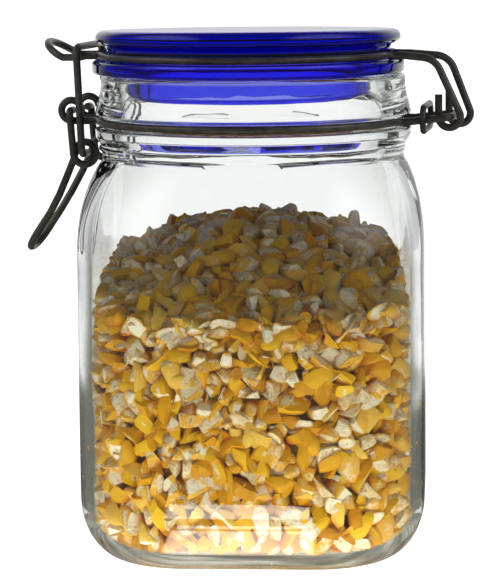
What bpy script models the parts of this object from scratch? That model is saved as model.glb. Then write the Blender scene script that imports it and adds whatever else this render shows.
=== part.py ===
"""Square clamp-lid storage jar of clear glass with a blue glass lid, filled with cracked corn.

Metres, +Z up. The origin is the centre of the flat base. The jar's four faces look along
X and Y, with -Y as its front. The wire clamp sits turned a little about the neck: its latch
is on the -X side and its hinge on the +X side. The clamp's own frame, used for every wire,
has X from latch to hinge, Y to the back and Z up.
"""

import math
import random

import bmesh
import bpy
from mathutils import Vector

MM = 0.001

# Jar body
BODY_HALF = 55.2          # half the width across the flat faces
CORNER_RADIUS = 35.0      # vertical corners
HEEL_RADIUS = 16.0        # where the walls turn into the base
WALL = 4.3
BASE_THICKNESS = 5.0
INNER_HEEL_RADIUS = 13.0
SHOULDER_BOTTOM = 98.0    # the straight walls end here
NECK_BOTTOM = 127.0       # the shoulder meets the round neck here
LIP_TOP = 153.6

# Neck, round
NECK_RADIUS = 48.7
COLLAR_GROOVE_RADIUS = 48.2
COLLAR_RIM_RADIUS = 51.0  # the flare above the groove and the bead below it
MOUTH_RADIUS = 43.0

# Wire
WIRE_RADIUS = 1.2
CLIP_WIRE_RADIUS = 1.0
RUNNING_GAP = 0.3         # between two wires that pass each other
PASSING = 2 * WIRE_RADIUS + RUNNING_GAP
GROOVE_BEND = 3.5         # from a wire's circle round the glass to its straight arms

# Clamp frame
CLAMP_TURN = math.radians(-7.5)
COLLAR_Z = 138.8
COLLAR_RADIUS = COLLAR_GROOVE_RADIUS + WIRE_RADIUS + RUNNING_GAP
EYE_RADIUS = 3.3
EYE_SIDE = 11.0           # how far each collar eye stands from the middle plane
LEVER_AXIS = (-57.6, COLLAR_Z + EYE_RADIUS)
LINK_AXIS = (-52.95, 128.4)
LEVER_LOOP_RADIUS = 3.57
HANDLE_SIDE = 7.0         # half the width of the lever's grip
LEVER_SIDE = EYE_SIDE + PASSING
LINK_SIDE = LEVER_SIDE + PASSING
CROSSBAR = (-54.3, 162.65)
HINGE_AXIS = (65.35, 140.4)
HINGE_CURL_RADIUS = 3.45
HINGE_LEG_SIDE = 8.5
HINGE_OFFSET = 0.55       # each leg sits this far off the bar's middle, the near one inward
NEAR_KNEE = (60.2, 158.6)
FAR_KNEE = (62.5, 158.7)
HINGE_ARM_SIDE = HINGE_LEG_SIDE + PASSING + 0.1

# Lid
LID_SHIFT = -1.5          # the lid sits a little towards the latch
LID_TOP = 167.7
FLANGE_RADIUS = 50.3
FLANGE_BOTTOM = 154.0
FLANGE_TOP = 158.2
LID_GROOVE_RADIUS = 46.0
DISC_RADIUS = 49.05
PLUG_RADIUS = 40.0
PLUG_BOTTOM = 144.8
RECESS_RADIUS = 35.5
RECESS_TOP = 157.0
LID_WIRE_Z = 159.7
LID_WIRE_RADIUS = LID_GROOVE_RADIUS + WIRE_RADIUS + 0.15
TAB_SIDE = 11.5
TAB_BEND_X = -60.0        # the tab's branches are straight up to here
TAB_REACH = 7.4
TAB_RISE = 4.6
TAB_Z = 159.2

# Corn
CORN_GAP = 0.4            # to the inside of the glass
CORN_EDGE_Z = 86.0        # middle height at the wall
CORN_TILT = 6.0           # the back edge is this much higher, the front edge this much lower
CORN_CORNER_LIFT = 5.0    # the front corners, above the middle of the front edge
CORN_MOUND = 21.5         # how far the peak stands above the edge
CORN_MOUND_RADIUS = 75.0
CORN_PEAK_Y = 8.0
BUMP_DEPTH = 1.5
CHIP_SIZE = (4.2, 2.7, 1.9)
CHIP_COUNT = 64
SEED = 41

RING_SIDES = 40
SHOULDER_ROWS = (107.0, 114.0, 119.0, 123.5)


def clear_scene():
    for item in list(bpy.data.objects):
        bpy.data.objects.remove(item, do_unlink=True)


def make_material(name, colour, roughness, metallic=0.0, transmission=0.0, ior=1.45):
    material = bpy.data.materials.new(name)
    material.use_nodes = True
    shader = next(node for node in material.node_tree.nodes if node.type == "BSDF_PRINCIPLED")
    shader.inputs["Base Color"].default_value = (*colour, 1.0)
    shader.inputs["Roughness"].default_value = roughness
    shader.inputs["Metallic"].default_value = metallic
    shader.inputs["Transmission Weight"].default_value = transmission
    shader.inputs["IOR"].default_value = ior
    material.diffuse_color = (*colour, 1.0)
    return material


def rounded_square_reach(angle, half, corner):
    """Distance from the centre to a rounded square's edge; a circle when corner equals half."""
    across = max(abs(math.cos(angle)), abs(math.sin(angle)))
    along = min(abs(math.cos(angle)), abs(math.sin(angle)))
    centre = half - corner
    if half * along / across <= centre:
        return half / across
    reach = centre * (across + along)
    return reach + math.sqrt(max(reach * reach - (2 * centre * centre - corner * corner), 0.0))


def ring_points(z, half, corner, sides, shift_x=0.0):
    points = []
    for step in range(sides):
        angle = 2 * math.pi * step / sides
        reach = rounded_square_reach(angle, half, corner)
        points.append((shift_x + reach * math.cos(angle), reach * math.sin(angle), z))
    return points


def add_object(name, data, material, parent=None, location=(0.0, 0.0, 0.0)):
    data.materials.append(material)
    item = bpy.data.objects.new(name, data)
    item.location = location
    item.parent = parent
    bpy.context.collection.objects.link(item)
    return item


def mesh_from_rings(name, rings, origin=(0.0, 0.0, 0.0)):
    """Skin through closed rings of points, given from one cap to the other, both caps flat."""
    bm = bmesh.new()
    loops = []
    for ring in rings:
        loop = [bm.verts.new([(value - base) * MM for value, base in zip(point, origin)])
                for point in ring]
        loops.append(loop)
    for lower, upper in zip(loops, loops[1:]):
        for index in range(len(lower)):
            following = (index + 1) % len(lower)
            bm.faces.new((lower[index], lower[following], upper[following], upper[index]))
    bm.faces.new(list(reversed(loops[0])))
    bm.faces.new(loops[-1])
    bmesh.ops.recalc_face_normals(bm, faces=bm.faces)
    mesh = bpy.data.meshes.new(name)
    bm.to_mesh(mesh)
    bm.free()
    mesh.shade_smooth()
    mesh.set_sharp_from_angle(angle=math.radians(35))
    return mesh


# Glass jar

def heel_rings(half, corner, bottom, radius, steps):
    """Half width, corner radius and height where a wall curves in to a flat bottom."""
    rows = []
    for step in range(steps):
        turn = math.radians(90 * (step + 0.15) / steps)
        inset = radius * (1 - math.sin(turn))
        rows.append((bottom + radius * (1 - math.cos(turn)), half - inset,
                     max(corner - inset, 4.0)))
    rows[0] = (bottom, rows[0][1], rows[0][2])
    return rows


def shoulder_shape(z):
    """Half width and corner radius of the outside between the straight walls and the neck."""
    rise = (z - SHOULDER_BOTTOM) / (NECK_BOTTOM - SHOULDER_BOTTOM)
    half = BODY_HALF - (BODY_HALF - NECK_RADIUS) * rise ** 2.6
    corner = CORNER_RADIUS + (NECK_RADIUS - CORNER_RADIUS) * rise ** 1.25
    return half, min(corner, half)


def jar_outside():
    rows = heel_rings(BODY_HALF, CORNER_RADIUS, 0.0, HEEL_RADIUS, 4)
    rows += [(z, BODY_HALF, CORNER_RADIUS) for z in (HEEL_RADIUS, SHOULDER_BOTTOM)]
    for z in SHOULDER_ROWS:
        rows.append((z, *shoulder_shape(z)))
    rim = COLLAR_RIM_RADIUS
    groove_low = COLLAR_Z - WIRE_RADIUS - 0.4
    groove_high = COLLAR_Z + WIRE_RADIUS + 0.4
    for z, radius in (
        (NECK_BOTTOM, NECK_RADIUS), (132.2, 49.5), (134.6, 50.9), (136.2, rim),
        (groove_low - 0.2, rim - 0.4), (groove_low, COLLAR_GROOVE_RADIUS),
        (groove_high, COLLAR_GROOVE_RADIUS), (groove_high + 0.2, rim), (141.6, rim),
        (144.0, 50.1), (150.4, 49.2), (LIP_TOP - 1.1, 48.9), (LIP_TOP, 47.6),
    ):
        rows.append((z, radius, radius))
    return rows


def inside_shape(z):
    """Half width and corner radius of the hollow at a height inside the jar."""
    floor = BASE_THICKNESS
    half = BODY_HALF - WALL
    corner = CORNER_RADIUS - WALL
    if z < floor + INNER_HEEL_RADIUS:
        drop = (floor + INNER_HEEL_RADIUS - z) / INNER_HEEL_RADIUS
        inset = INNER_HEEL_RADIUS * (1 - math.sqrt(max(1 - drop * drop, 0.0)))
        return half - inset, max(corner - inset, 4.0)
    if z < SHOULDER_BOTTOM:
        return half, corner
    if z < NECK_BOTTOM:
        outer_half, outer_corner = shoulder_shape(z)
        rise = (z - SHOULDER_BOTTOM) / (NECK_BOTTOM - SHOULDER_BOTTOM)
        half = min(outer_half - WALL - 1.1 * rise, outer_half - WALL)
        return half, min(outer_corner - WALL, half)
    return MOUTH_RADIUS, MOUTH_RADIUS


def jar_inside():
    mouth = MOUTH_RADIUS
    rows = [(LIP_TOP, mouth + 1.4, mouth + 1.4), (LIP_TOP - 1.4, mouth, mouth)]
    for z in (NECK_BOTTOM, *reversed(SHOULDER_ROWS), SHOULDER_BOTTOM - 0.5):
        rows.append((z, *inside_shape(z)))
    rows += reversed(heel_rings(BODY_HALF - WALL, CORNER_RADIUS - WALL, BASE_THICKNESS,
                                INNER_HEEL_RADIUS, 4))
    return rows


def build_jar():
    glass = make_material("clear_glass", (0.93, 0.97, 0.96), 0.02, transmission=1.0, ior=1.5)
    rows = jar_outside() + jar_inside()
    rings = [ring_points(z, half, corner, RING_SIDES) for z, half, corner in rows]
    return add_object("jar_glass", mesh_from_rings("jar_glass", rings), glass)


# Glass lid

def build_lid(parent):
    blue = make_material("blue_glass", (0.03, 0.02, 0.62), 0.03, transmission=1.0, ior=1.5)
    groove = LID_GROOVE_RADIUS
    rows = (
        (RECESS_TOP, RECESS_RADIUS - 2.0), (RECESS_TOP - 1.5, RECESS_RADIUS - 0.3),
        (PLUG_BOTTOM + 1.2, RECESS_RADIUS), (PLUG_BOTTOM, RECESS_RADIUS + 1.2),
        (PLUG_BOTTOM, PLUG_RADIUS - 1.2), (PLUG_BOTTOM + 1.2, PLUG_RADIUS),
        (FLANGE_BOTTOM, PLUG_RADIUS + 0.5), (FLANGE_BOTTOM, FLANGE_RADIUS - 0.8),
        (FLANGE_BOTTOM + 0.8, FLANGE_RADIUS), (FLANGE_TOP - 0.9, FLANGE_RADIUS),
        (FLANGE_TOP, FLANGE_RADIUS - 1.0), (FLANGE_TOP, groove + 0.3), (FLANGE_TOP + 0.6, groove),
        (162.3, groove), (163.1, groove + 0.7), (163.8, DISC_RADIUS - 0.8),
        (164.6, DISC_RADIUS), (165.5, DISC_RADIUS), (166.6, DISC_RADIUS - 0.7),
        (167.3, DISC_RADIUS - 2.2), (LID_TOP, DISC_RADIUS - 5.0),
    )
    origin = (HINGE_AXIS[0], 0.0, HINGE_AXIS[1])
    rings = [ring_points(z, radius, radius, RING_SIDES, LID_SHIFT) for z, radius in rows]
    return add_object("lid_glass", mesh_from_rings("lid_glass", rings, origin), blue, parent)


# Wires. Every path is a list of points in the clamp frame, in millimetres.

def arc(centre, radius, start, end, step=18.0, plane="xz", fixed=0.0, fixed_end=None):
    """Points on an arc in the XZ or XY plane, angles in degrees, with the third axis fixed
    or running evenly from fixed to fixed_end."""
    count = max(2, int(math.ceil(abs(end - start) / step)) + 1)
    points = []
    for index in range(count):
        share = index / (count - 1)
        angle = math.radians(start + (end - start) * share)
        first = centre[0] + radius * math.cos(angle)
        second = centre[1] + radius * math.sin(angle)
        third = fixed if fixed_end is None else fixed + (fixed_end - fixed) * share
        points.append((first, third, second) if plane == "xz" else (first, second, third))
    return points


def rounded(corners, radii, step=22.0):
    """A polyline through corners, each inner corner rounded to its own radius."""
    path = [corners[0]]
    for before, corner, after, radius in zip(corners, corners[1:], corners[2:], radii):
        middle = Vector(corner)
        back = (Vector(before) - middle).normalized()
        ahead = (Vector(after) - middle).normalized()
        opening = back.angle(ahead)
        trim = radius / math.tan(opening / 2)
        centre = middle + (back + ahead).normalized() * (radius / math.sin(opening / 2))
        start = middle + back * trim - centre
        end = middle + ahead * trim - centre
        turn = start.angle(end)
        count = max(2, int(math.ceil(math.degrees(turn) / step)) + 1)
        for index in range(count):
            share = index / (count - 1)
            spoke = (start * math.sin((1 - share) * turn) + end * math.sin(share * turn))
            path.append(tuple(centre + spoke / math.sin(turn)))
    path.append(corners[-1])
    return path


def mirrored(half_path):
    """The near half of a wire, from one end to the middle plane, and its far half."""
    return half_path + [(x, -y, z) for x, y, z in reversed(half_path) if abs(y) > 1e-6]


def groove_bend(circle_radius, side, bend, toward_hinge, shift=0.0):
    """Centre of the small bend that carries a wire from a groove circle to a straight arm
    that runs along X at the given side distance, and the bend's angle on the circle."""
    out = math.sqrt((circle_radius + bend) ** 2 - (side + bend) ** 2)
    slope = math.degrees(math.asin((side + bend) / (circle_radius + bend)))
    centre_x = shift + (out if toward_hinge else -out)
    return (centre_x, -(side + bend)), slope


def add_wire(name, points, material, parent, pivot, radius=WIRE_RADIUS, closed=False):
    curve = bpy.data.curves.new(name, "CURVE")
    curve.dimensions = "3D"
    curve.bevel_depth = radius * MM
    curve.bevel_resolution = 2
    curve.use_fill_caps = True
    spline = curve.splines.new("POLY")
    spline.points.add(len(points) - 1)
    for target, point in zip(spline.points, points):
        place = [(value - base) * MM for value, base in zip(point, pivot)]
        target.co = (*place, 1.0)
    spline.use_cyclic_u = closed
    spline.use_smooth = True
    return add_object(name, curve, material, parent)


def collar_path():
    bend = GROOVE_BEND
    bar_x, bar_z = HINGE_AXIS
    eye = LEVER_AXIS
    latch_centre, latch_slope = groove_bend(COLLAR_RADIUS, EYE_SIDE, bend, False)
    hinge_centre, hinge_slope = groove_bend(COLLAR_RADIUS, HINGE_ARM_SIDE, bend, True)
    path = arc(eye, EYE_RADIUS, -362, -90, 24, fixed=-EYE_SIDE)
    path += arc(latch_centre, bend, 90, latch_slope, 25, "xy", COLLAR_Z)
    path += arc((0, 0), COLLAR_RADIUS, 180 + latch_slope, 360 - hinge_slope, 8, "xy", COLLAR_Z)[1:-1]
    path += arc(hinge_centre, bend, 180 - hinge_slope, 90, 25, "xy", COLLAR_Z)
    path += rounded([path[-1], (bar_x, -HINGE_ARM_SIDE, bar_z), (bar_x, 0, bar_z)], [3.0], 30)[1:]
    return mirrored(path)


def clip_path():
    """A flat oval tie round both collar arms, turned a little in plan."""
    half_height = 3.8
    half_width = HINGE_ARM_SIDE + WIRE_RADIUS + RUNNING_GAP + CLIP_WIRE_RADIUS
    straight = half_width - half_height
    clip_x, clip_z, lean = 56.4, 139.7, math.tan(math.radians(-2.6))
    points = []
    for side in (-1, 1):
        for degrees in range(-90, 91, 30):
            angle = math.radians(degrees)
            across = side * (straight + half_height * math.cos(angle))
            height = clip_z + side * half_height * math.sin(angle)
            points.append((clip_x + lean * across, across, height))
    return points


def hinge_leg(side, offset, knee):
    """One leg of the lid wire, from its short end round the bar and over to the groove."""
    curl_x, curl_z = HINGE_AXIS[0] + offset, HINGE_AXIS[1]
    centre, slope = groove_bend(LID_WIRE_RADIUS, HINGE_LEG_SIDE, GROOVE_BEND, True, LID_SHIFT)
    y = side * HINGE_LEG_SIDE
    path = [(curl_x - HINGE_CURL_RADIUS, y, 147.4)]
    path += arc((curl_x, curl_z), HINGE_CURL_RADIUS, 180, 385, 22, fixed=y)
    flange_edge = LID_SHIFT + FLANGE_RADIUS + 1.0
    path += rounded([path[-1], (knee[0], y, knee[1]), (flange_edge, y, LID_WIRE_Z)], [6.5], 16)[1:]
    bend = arc(centre, GROOVE_BEND, 90, 180 - slope, 25, "xy", LID_WIRE_Z)
    return path + [(x, -side * across, z) for x, across, z in bend]


def lid_wire_path():
    _, hinge_slope = groove_bend(LID_WIRE_RADIUS, HINGE_LEG_SIDE, GROOVE_BEND, True, LID_SHIFT)
    centre, slope = groove_bend(LID_WIRE_RADIUS, TAB_SIDE, GROOVE_BEND, False, LID_SHIFT)
    half = arc((LID_SHIFT, 0), LID_WIRE_RADIUS, 360 - hinge_slope, 180 + slope, 8, "xy",
               LID_WIRE_Z)[1:-1]
    half += arc(centre, GROOVE_BEND, slope, 90, 25, "xy", LID_WIRE_Z)
    half.append((LID_SHIFT - FLANGE_RADIUS - 0.6, -TAB_SIDE, LID_WIRE_Z))
    half.append((CROSSBAR[0] - 0.3, -TAB_SIDE, TAB_Z))
    for degrees in range(90, 14, -15):
        reach = math.cos(math.radians(degrees))
        half.append((TAB_BEND_X - TAB_REACH * reach, -TAB_SIDE * math.sin(math.radians(degrees)),
                     TAB_Z + TAB_RISE * reach ** 1.2))
    half.append((TAB_BEND_X - TAB_REACH, 0.0, TAB_Z + TAB_RISE))
    near_leg = hinge_leg(-1, -HINGE_OFFSET, NEAR_KNEE)
    far_leg = hinge_leg(1, HINGE_OFFSET, FAR_KNEE)
    return near_leg + mirrored(half) + far_leg[::-1]


def lever_path():
    axis_x, axis_z = LEVER_AXIS
    loop_x, loop_z = LINK_AXIS
    inner = LEVER_SIDE - PASSING
    span = math.hypot(loop_x - axis_x, loop_z - axis_z)
    lean = (math.degrees(math.atan2(loop_x - axis_x, axis_z - loop_z))
            - math.degrees(math.asin(LEVER_LOOP_RADIUS / span)))
    loop = arc(LINK_AXIS, LEVER_LOOP_RADIUS, 180 + lean, 517, 22, fixed=-LEVER_SIDE,
               fixed_end=-inner)
    path = rounded([(axis_x, -inner + 2.0, axis_z), (axis_x, -LEVER_SIDE, axis_z), loop[0]],
                   [1.5], 30)[:-1]
    path += loop
    grip = HANDLE_SIDE
    path += [(-57.2, 0.3 - inner, 126.4), (-59.9, 1.3 - inner, 120.6), (-63.0, -grip - 1.0, 114.4)]
    tip = (-74.5, 96.6)
    path += rounded([(-66.4, -grip, 108.6), (tip[0], -grip, tip[1]), (tip[0], 0.0, tip[1])],
                    [grip - 1.0], 22)
    return mirrored(path)


def link_path():
    hook_x, hook_z = LINK_AXIS
    bar_x, bar_z = CROSSBAR
    side = LINK_SIDE
    corners = [(hook_x, -side + 2 * PASSING + 1.0, hook_z), (hook_x, -side, hook_z),
               (bar_x, -side, bar_z), (bar_x, 0.0, bar_z)]
    return mirrored(rounded(corners, [2.0, 3.2], 30))


# Cracked corn

def mound_height(x, y):
    """Height of the corn's top surface."""
    slope = CORN_EDGE_Z + CORN_TILT * y / BODY_HALF
    slope += CORN_CORNER_LIFT * (x / BODY_HALF) ** 2 * max(-y, 0.0) / BODY_HALF
    distance = min(math.hypot(x, y - CORN_PEAK_Y) / CORN_MOUND_RADIUS, 1.0)
    return slope + CORN_MOUND * (0.5 + 0.5 * math.cos(math.pi * distance))


def inside_reach(angle, z):
    """Distance from the axis to the faceted inside of the glass."""
    rows = sorted(jar_inside())
    for lower, upper in zip(rows, rows[1:]):
        if lower[0] <= z <= upper[0]:
            share = (z - lower[0]) / max(upper[0] - lower[0], 1e-6)
            return (rounded_square_reach(angle, *lower[1:]) * (1 - share)
                    + rounded_square_reach(angle, *upper[1:]) * share)
    return MOUTH_RADIUS


def corn_ring(share, dent, draw):
    """One ring up the side, from the floor at share 0 to the top edge at share 1."""
    floor = BASE_THICKNESS + CORN_GAP
    points = []
    for step in range(RING_SIDES):
        angle = 2 * math.pi * step / RING_SIDES
        edge_reach = inside_reach(angle, CORN_EDGE_Z)
        edge = mound_height(edge_reach * math.cos(angle), edge_reach * math.sin(angle))
        z = floor + (edge - floor) * share
        reach = inside_reach(angle, z) - CORN_GAP - dent * draw.random()
        points.append((reach * math.cos(angle), reach * math.sin(angle), z))
    return points


def build_corn_core(draw):
    rings = []
    for row in range(14):
        rings.append(corn_ring(row / 13, 0.2 if row == 0 else BUMP_DEPTH, draw))
    outer = rings[-1]
    for share in (0.9, 0.79, 0.67, 0.54, 0.4, 0.26, 0.12):
        ring = []
        for x, y, _ in outer:
            height = mound_height(x * share, y * share)
            ring.append((x * share, y * share, height + BUMP_DEPTH * (draw.random() - 0.5)))
        rings.append(ring)
    return mesh_from_rings("corn_heap", rings)


def add_chip(collection, place, draw):
    """One angular chip of a broken kernel, lying nearly flat on the mound."""
    bm = bmesh.new()
    bmesh.ops.create_icosphere(bm, subdivisions=1, radius=1.0)
    for vert in bm.verts:
        vert.co *= 0.82 + 0.36 * draw.random()
        vert.co = Vector([part * size * MM for part, size in zip(vert.co, CHIP_SIZE)])
    mesh = bpy.data.meshes.new("chip")
    bm.to_mesh(mesh)
    bm.free()
    chip = bpy.data.objects.new("chip", mesh)
    chip.location = [value * MM for value in place]
    chip.rotation_euler = (draw.uniform(-0.5, 0.5), draw.uniform(-0.5, 0.5), draw.uniform(0, 6.28))
    collection.objects.link(chip)


def build_corn():
    corn = make_material("cracked_corn", (0.72, 0.46, 0.12), 0.6)
    draw = random.Random(SEED)
    heap = add_object("corn_heap", build_corn_core(draw), corn)
    chips = bpy.data.collections.new("chips")
    bpy.context.scene.collection.children.link(chips)
    golden_turn = math.pi * (3 - math.sqrt(5))
    for index in range(CHIP_COUNT):
        distance = 44.0 * math.sqrt((index + 0.5) / CHIP_COUNT)
        angle = index * golden_turn
        x, y = distance * math.cos(angle), distance * math.sin(angle)
        add_chip(chips, (x, y, mound_height(x, y) + 0.4), draw)
    union = heap.modifiers.new("chips", "BOOLEAN")
    union.operation = "UNION"
    union.operand_type = "COLLECTION"
    union.collection = chips
    depsgraph = bpy.context.evaluated_depsgraph_get()
    fused = bpy.data.meshes.new_from_object(heap.evaluated_get(depsgraph))
    heap.modifiers.remove(union)
    heap.data = fused
    fused.name = "corn_heap"
    for chip in list(chips.objects):
        bpy.data.objects.remove(chip, do_unlink=True)
    bpy.data.collections.remove(chips)
    return heap


# Assembly

def add_empty(name, location, parent=None):
    empty = bpy.data.objects.new(name, None)
    empty.empty_display_size = 0.01
    empty.location = [value * MM for value in location]
    empty.parent = parent
    bpy.context.collection.objects.link(empty)
    return empty


def build_clamp():
    steel = make_material("dark_steel_wire", (0.10, 0.095, 0.085), 0.42, metallic=0.9)
    clamp = add_empty("clamp_frame", (0, 0, 0))
    clamp.rotation_euler = (0, 0, CLAMP_TURN)
    add_wire("collar_wire", collar_path(), steel, clamp, (0, 0, 0))
    add_wire("collar_clip", clip_path(), steel, clamp, (0, 0, 0), CLIP_WIRE_RADIUS, closed=True)

    lid_pivot = (HINGE_AXIS[0], 0.0, HINGE_AXIS[1])
    lid_axis = add_empty("lid_axis", lid_pivot, clamp)
    add_wire("lid_wire", lid_wire_path(), steel, lid_axis, lid_pivot)
    build_lid(lid_axis)

    lever_pivot = (LEVER_AXIS[0], 0.0, LEVER_AXIS[1])
    lever_axis = add_empty("lever_axis", lever_pivot, clamp)
    add_wire("lever", lever_path(), steel, lever_axis, lever_pivot)

    link_pivot = (LINK_AXIS[0], 0.0, LINK_AXIS[1])
    link_axis = add_empty("link_axis", (link_pivot[0] - lever_pivot[0], 0.0,
                                        link_pivot[2] - lever_pivot[2]), lever_axis)
    add_wire("link", link_path(), steel, link_axis, link_pivot)


def build_all():
    clear_scene()
    build_jar()
    build_corn()
    build_clamp()


build_all()
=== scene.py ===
import math
import random

import bpy
from mathutils import Euler, Matrix, Vector


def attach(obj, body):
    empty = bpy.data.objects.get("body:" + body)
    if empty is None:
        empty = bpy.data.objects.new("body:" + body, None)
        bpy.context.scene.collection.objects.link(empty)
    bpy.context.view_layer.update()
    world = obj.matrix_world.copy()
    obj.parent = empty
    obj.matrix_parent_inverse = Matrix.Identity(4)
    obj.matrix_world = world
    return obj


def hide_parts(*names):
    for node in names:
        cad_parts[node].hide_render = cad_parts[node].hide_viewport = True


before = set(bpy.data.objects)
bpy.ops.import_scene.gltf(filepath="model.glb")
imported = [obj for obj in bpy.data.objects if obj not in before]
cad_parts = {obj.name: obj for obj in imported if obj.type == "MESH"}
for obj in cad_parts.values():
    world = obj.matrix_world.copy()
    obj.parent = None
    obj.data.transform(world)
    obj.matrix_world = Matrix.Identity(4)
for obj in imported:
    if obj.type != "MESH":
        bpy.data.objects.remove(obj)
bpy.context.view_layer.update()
mm = 0.001
print("frame loaded")


# helpers for objects

def deselectAll():
    if bpy.context.object and bpy.context.object.mode != "OBJECT":
        bpy.ops.object.mode_set(mode="OBJECT")
    bpy.ops.object.select_all(action="DESELECT")


def pickOnly(piece):
    deselectAll()
    piece.select_set(True)
    bpy.context.view_layer.objects.active = piece


def settle(piece):
    # the object sits at the origin, with its place in its mesh
    pickOnly(piece)
    bpy.ops.object.transform_apply(location=True, rotation=True, scale=True)


def finishPiece(piece, name, material, body, node=None):
    piece.name = name
    piece.data.name = name
    piece.data.materials.clear()
    piece.data.materials.append(material)
    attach(piece, body)
    if node:
        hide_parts(node)


def spinProfile(points, turns):
    # a profile of (reach, height) is drawn by extruding one vertex, then spun round the z axis
    deselectAll()
    bpy.ops.mesh.primitive_plane_add(size=0.001, location=(0, 0, 0))
    piece = bpy.context.object
    bpy.ops.object.mode_set(mode="EDIT")
    bpy.ops.mesh.select_mode(type="VERT")
    bpy.ops.mesh.select_all(action="SELECT")
    bpy.ops.mesh.merge(type="CENTER")
    start = Vector((points[0][0] * mm, 0, points[0][1] * mm))
    bpy.ops.transform.translate(value=start)
    for before, after in zip(points, points[1:]):
        step = ((after[0] - before[0]) * mm, 0, (after[1] - before[1]) * mm)
        bpy.ops.mesh.extrude_region_move(TRANSFORM_OT_translate={"value": step})
    bpy.ops.mesh.select_all(action="SELECT")
    bpy.ops.mesh.spin(steps=turns, angle=2 * math.pi, center=(0, 0, 0), axis=(0, 0, 1))
    bpy.ops.mesh.select_all(action="SELECT")
    bpy.ops.mesh.remove_doubles(threshold=0.00002)
    bpy.ops.mesh.normals_make_consistent(inside=False)
    bpy.ops.object.mode_set(mode="OBJECT")
    return piece


def roundCorners(corners, step=9.0):
    # corners of (x, z, radius): each is replaced by an arc of its radius
    path = [corners[0][:2]]
    for before, corner, after in zip(corners, corners[1:], corners[2:]):
        middle = Vector(corner[:2])
        back = (Vector(before[:2]) - middle).normalized()
        ahead = (Vector(after[:2]) - middle).normalized()
        opening = back.angle(ahead)
        if corner[2] <= 0 or opening > math.radians(179):
            path.append(corner[:2])
            continue
        trim = corner[2] / math.tan(opening / 2)
        centre = middle + (back + ahead).normalized() * (corner[2] / math.sin(opening / 2))
        start = middle + back * trim - centre
        end = middle + ahead * trim - centre
        turn = start.angle(end)
        count = max(2, int(math.ceil(math.degrees(turn) / step)) + 1)
        for index in range(count):
            share = index / (count - 1)
            spoke = start * math.sin((1 - share) * turn) + end * math.sin(share * turn)
            path.append(tuple(centre + spoke / math.sin(turn)))
    path.append(corners[-1][:2])
    return path


# shader maths as Python expressions

class Signal:
    def __init__(self, tree, socket):
        self.tree = tree
        self.socket = socket

    def maths(self, operation, first, second):
        node = self.tree.nodes.new("ShaderNodeMath")
        node.operation = operation
        for place, item in enumerate((first, second)):
            plug(self.tree, item, node.inputs[place])
        return Signal(self.tree, node.outputs[0])

    def __add__(self, other):
        return self.maths("ADD", self, other)

    def __radd__(self, other):
        return self.maths("ADD", other, self)

    def __sub__(self, other):
        return self.maths("SUBTRACT", self, other)

    def __rsub__(self, other):
        return self.maths("SUBTRACT", other, self)

    def __mul__(self, other):
        return self.maths("MULTIPLY", self, other)

    def __rmul__(self, other):
        return self.maths("MULTIPLY", other, self)

    def __truediv__(self, other):
        return self.maths("DIVIDE", self, other)


def plug(tree, item, socket):
    if isinstance(item, Signal):
        tree.links.new(item.socket, socket)
    else:
        socket.default_value = item


class Nodes:
    def __init__(self, tree):
        self.tree = tree

    def node(self, kind, settings=None, output=0, **sockets):
        made = self.tree.nodes.new("ShaderNode" + kind)
        for key, value in (settings or {}).items():
            if key == "stops":
                ramp = made.color_ramp
                while len(ramp.elements) < len(value):
                    ramp.elements.new(1.0)
                for element, (place, colour) in zip(ramp.elements, value):
                    element.position = place
                    element.color = (*colour, 1.0)
            else:
                setattr(made, key, value)
        for key, value in sockets.items():
            place = int(key[1:]) if key[1:].isdigit() else key.replace("_", " ")
            plug(self.tree, value, made.inputs[place])
        return Signal(self.tree, made.outputs[output])

    def single(self, operation, value):
        return self.node("Math", {"operation": operation}, s0=value)

    def coordinates(self):
        return self.node("TexCoord", output="Object")

    def noise(self, scale, detail=2.0, rough=0.5, vector=None, output=0):
        return self.node("TexNoise", output=output, Vector=vector or self.coordinates(),
                         Scale=scale, Detail=detail, Roughness=rough)

    def ramp(self, fac, stops):
        return self.node("ValToRGB", {"stops": stops}, Fac=fac)

    def mix(self, fac, first, second):
        return self.node("Mix", {"data_type": "RGBA"}, output=2, s0=fac, s6=first, s7=second)

    def span(self, value, low, high):
        # 0 below low, 1 above high, with a soft step between
        return self.node("MapRange", {"interpolation_type": "SMOOTHSTEP"}, Value=value,
                         From_Min=low, From_Max=high)

    def split(self, vector):
        node = self.node("SeparateXYZ", Vector=vector).socket.node
        return [Signal(self.tree, output) for output in node.outputs]

    def bump(self, height, strength, distance, normal=None):
        sockets = {"Height": height, "Strength": strength, "Distance": distance}
        if normal is not None:
            sockets["Normal"] = normal
        return self.node("Bump", **sockets)


class Look(Nodes):
    def __init__(self, name, **values):
        self.material = bpy.data.materials.new(name)
        self.material.use_nodes = True
        super().__init__(self.material.node_tree)
        self.shader = next(n for n in self.tree.nodes if n.type == "BSDF_PRINCIPLED")
        self.out = next(n for n in self.tree.nodes if n.type == "OUTPUT_MATERIAL")
        for key, value in values.items():
            self.set(key, value)

    def set(self, key, value):
        names = {"color": "Base Color", "rough": "Roughness", "metal": "Metallic", "ior": "IOR",
                 "glass": "Transmission Weight", "normal": "Normal",
                 "specular": "Specular IOR Level"}
        plug(self.tree, value, self.shader.inputs[names[key]])

    def tint(self, colour, density):
        # what the glass takes from light on its way through
        volume = self.node("VolumeAbsorption", Color=(*colour, 1.0), Density=density)
        self.tree.links.new(volume.socket, self.out.inputs["Volume"])


# the jar's measures, the same as the frame's, in millimetres

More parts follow.
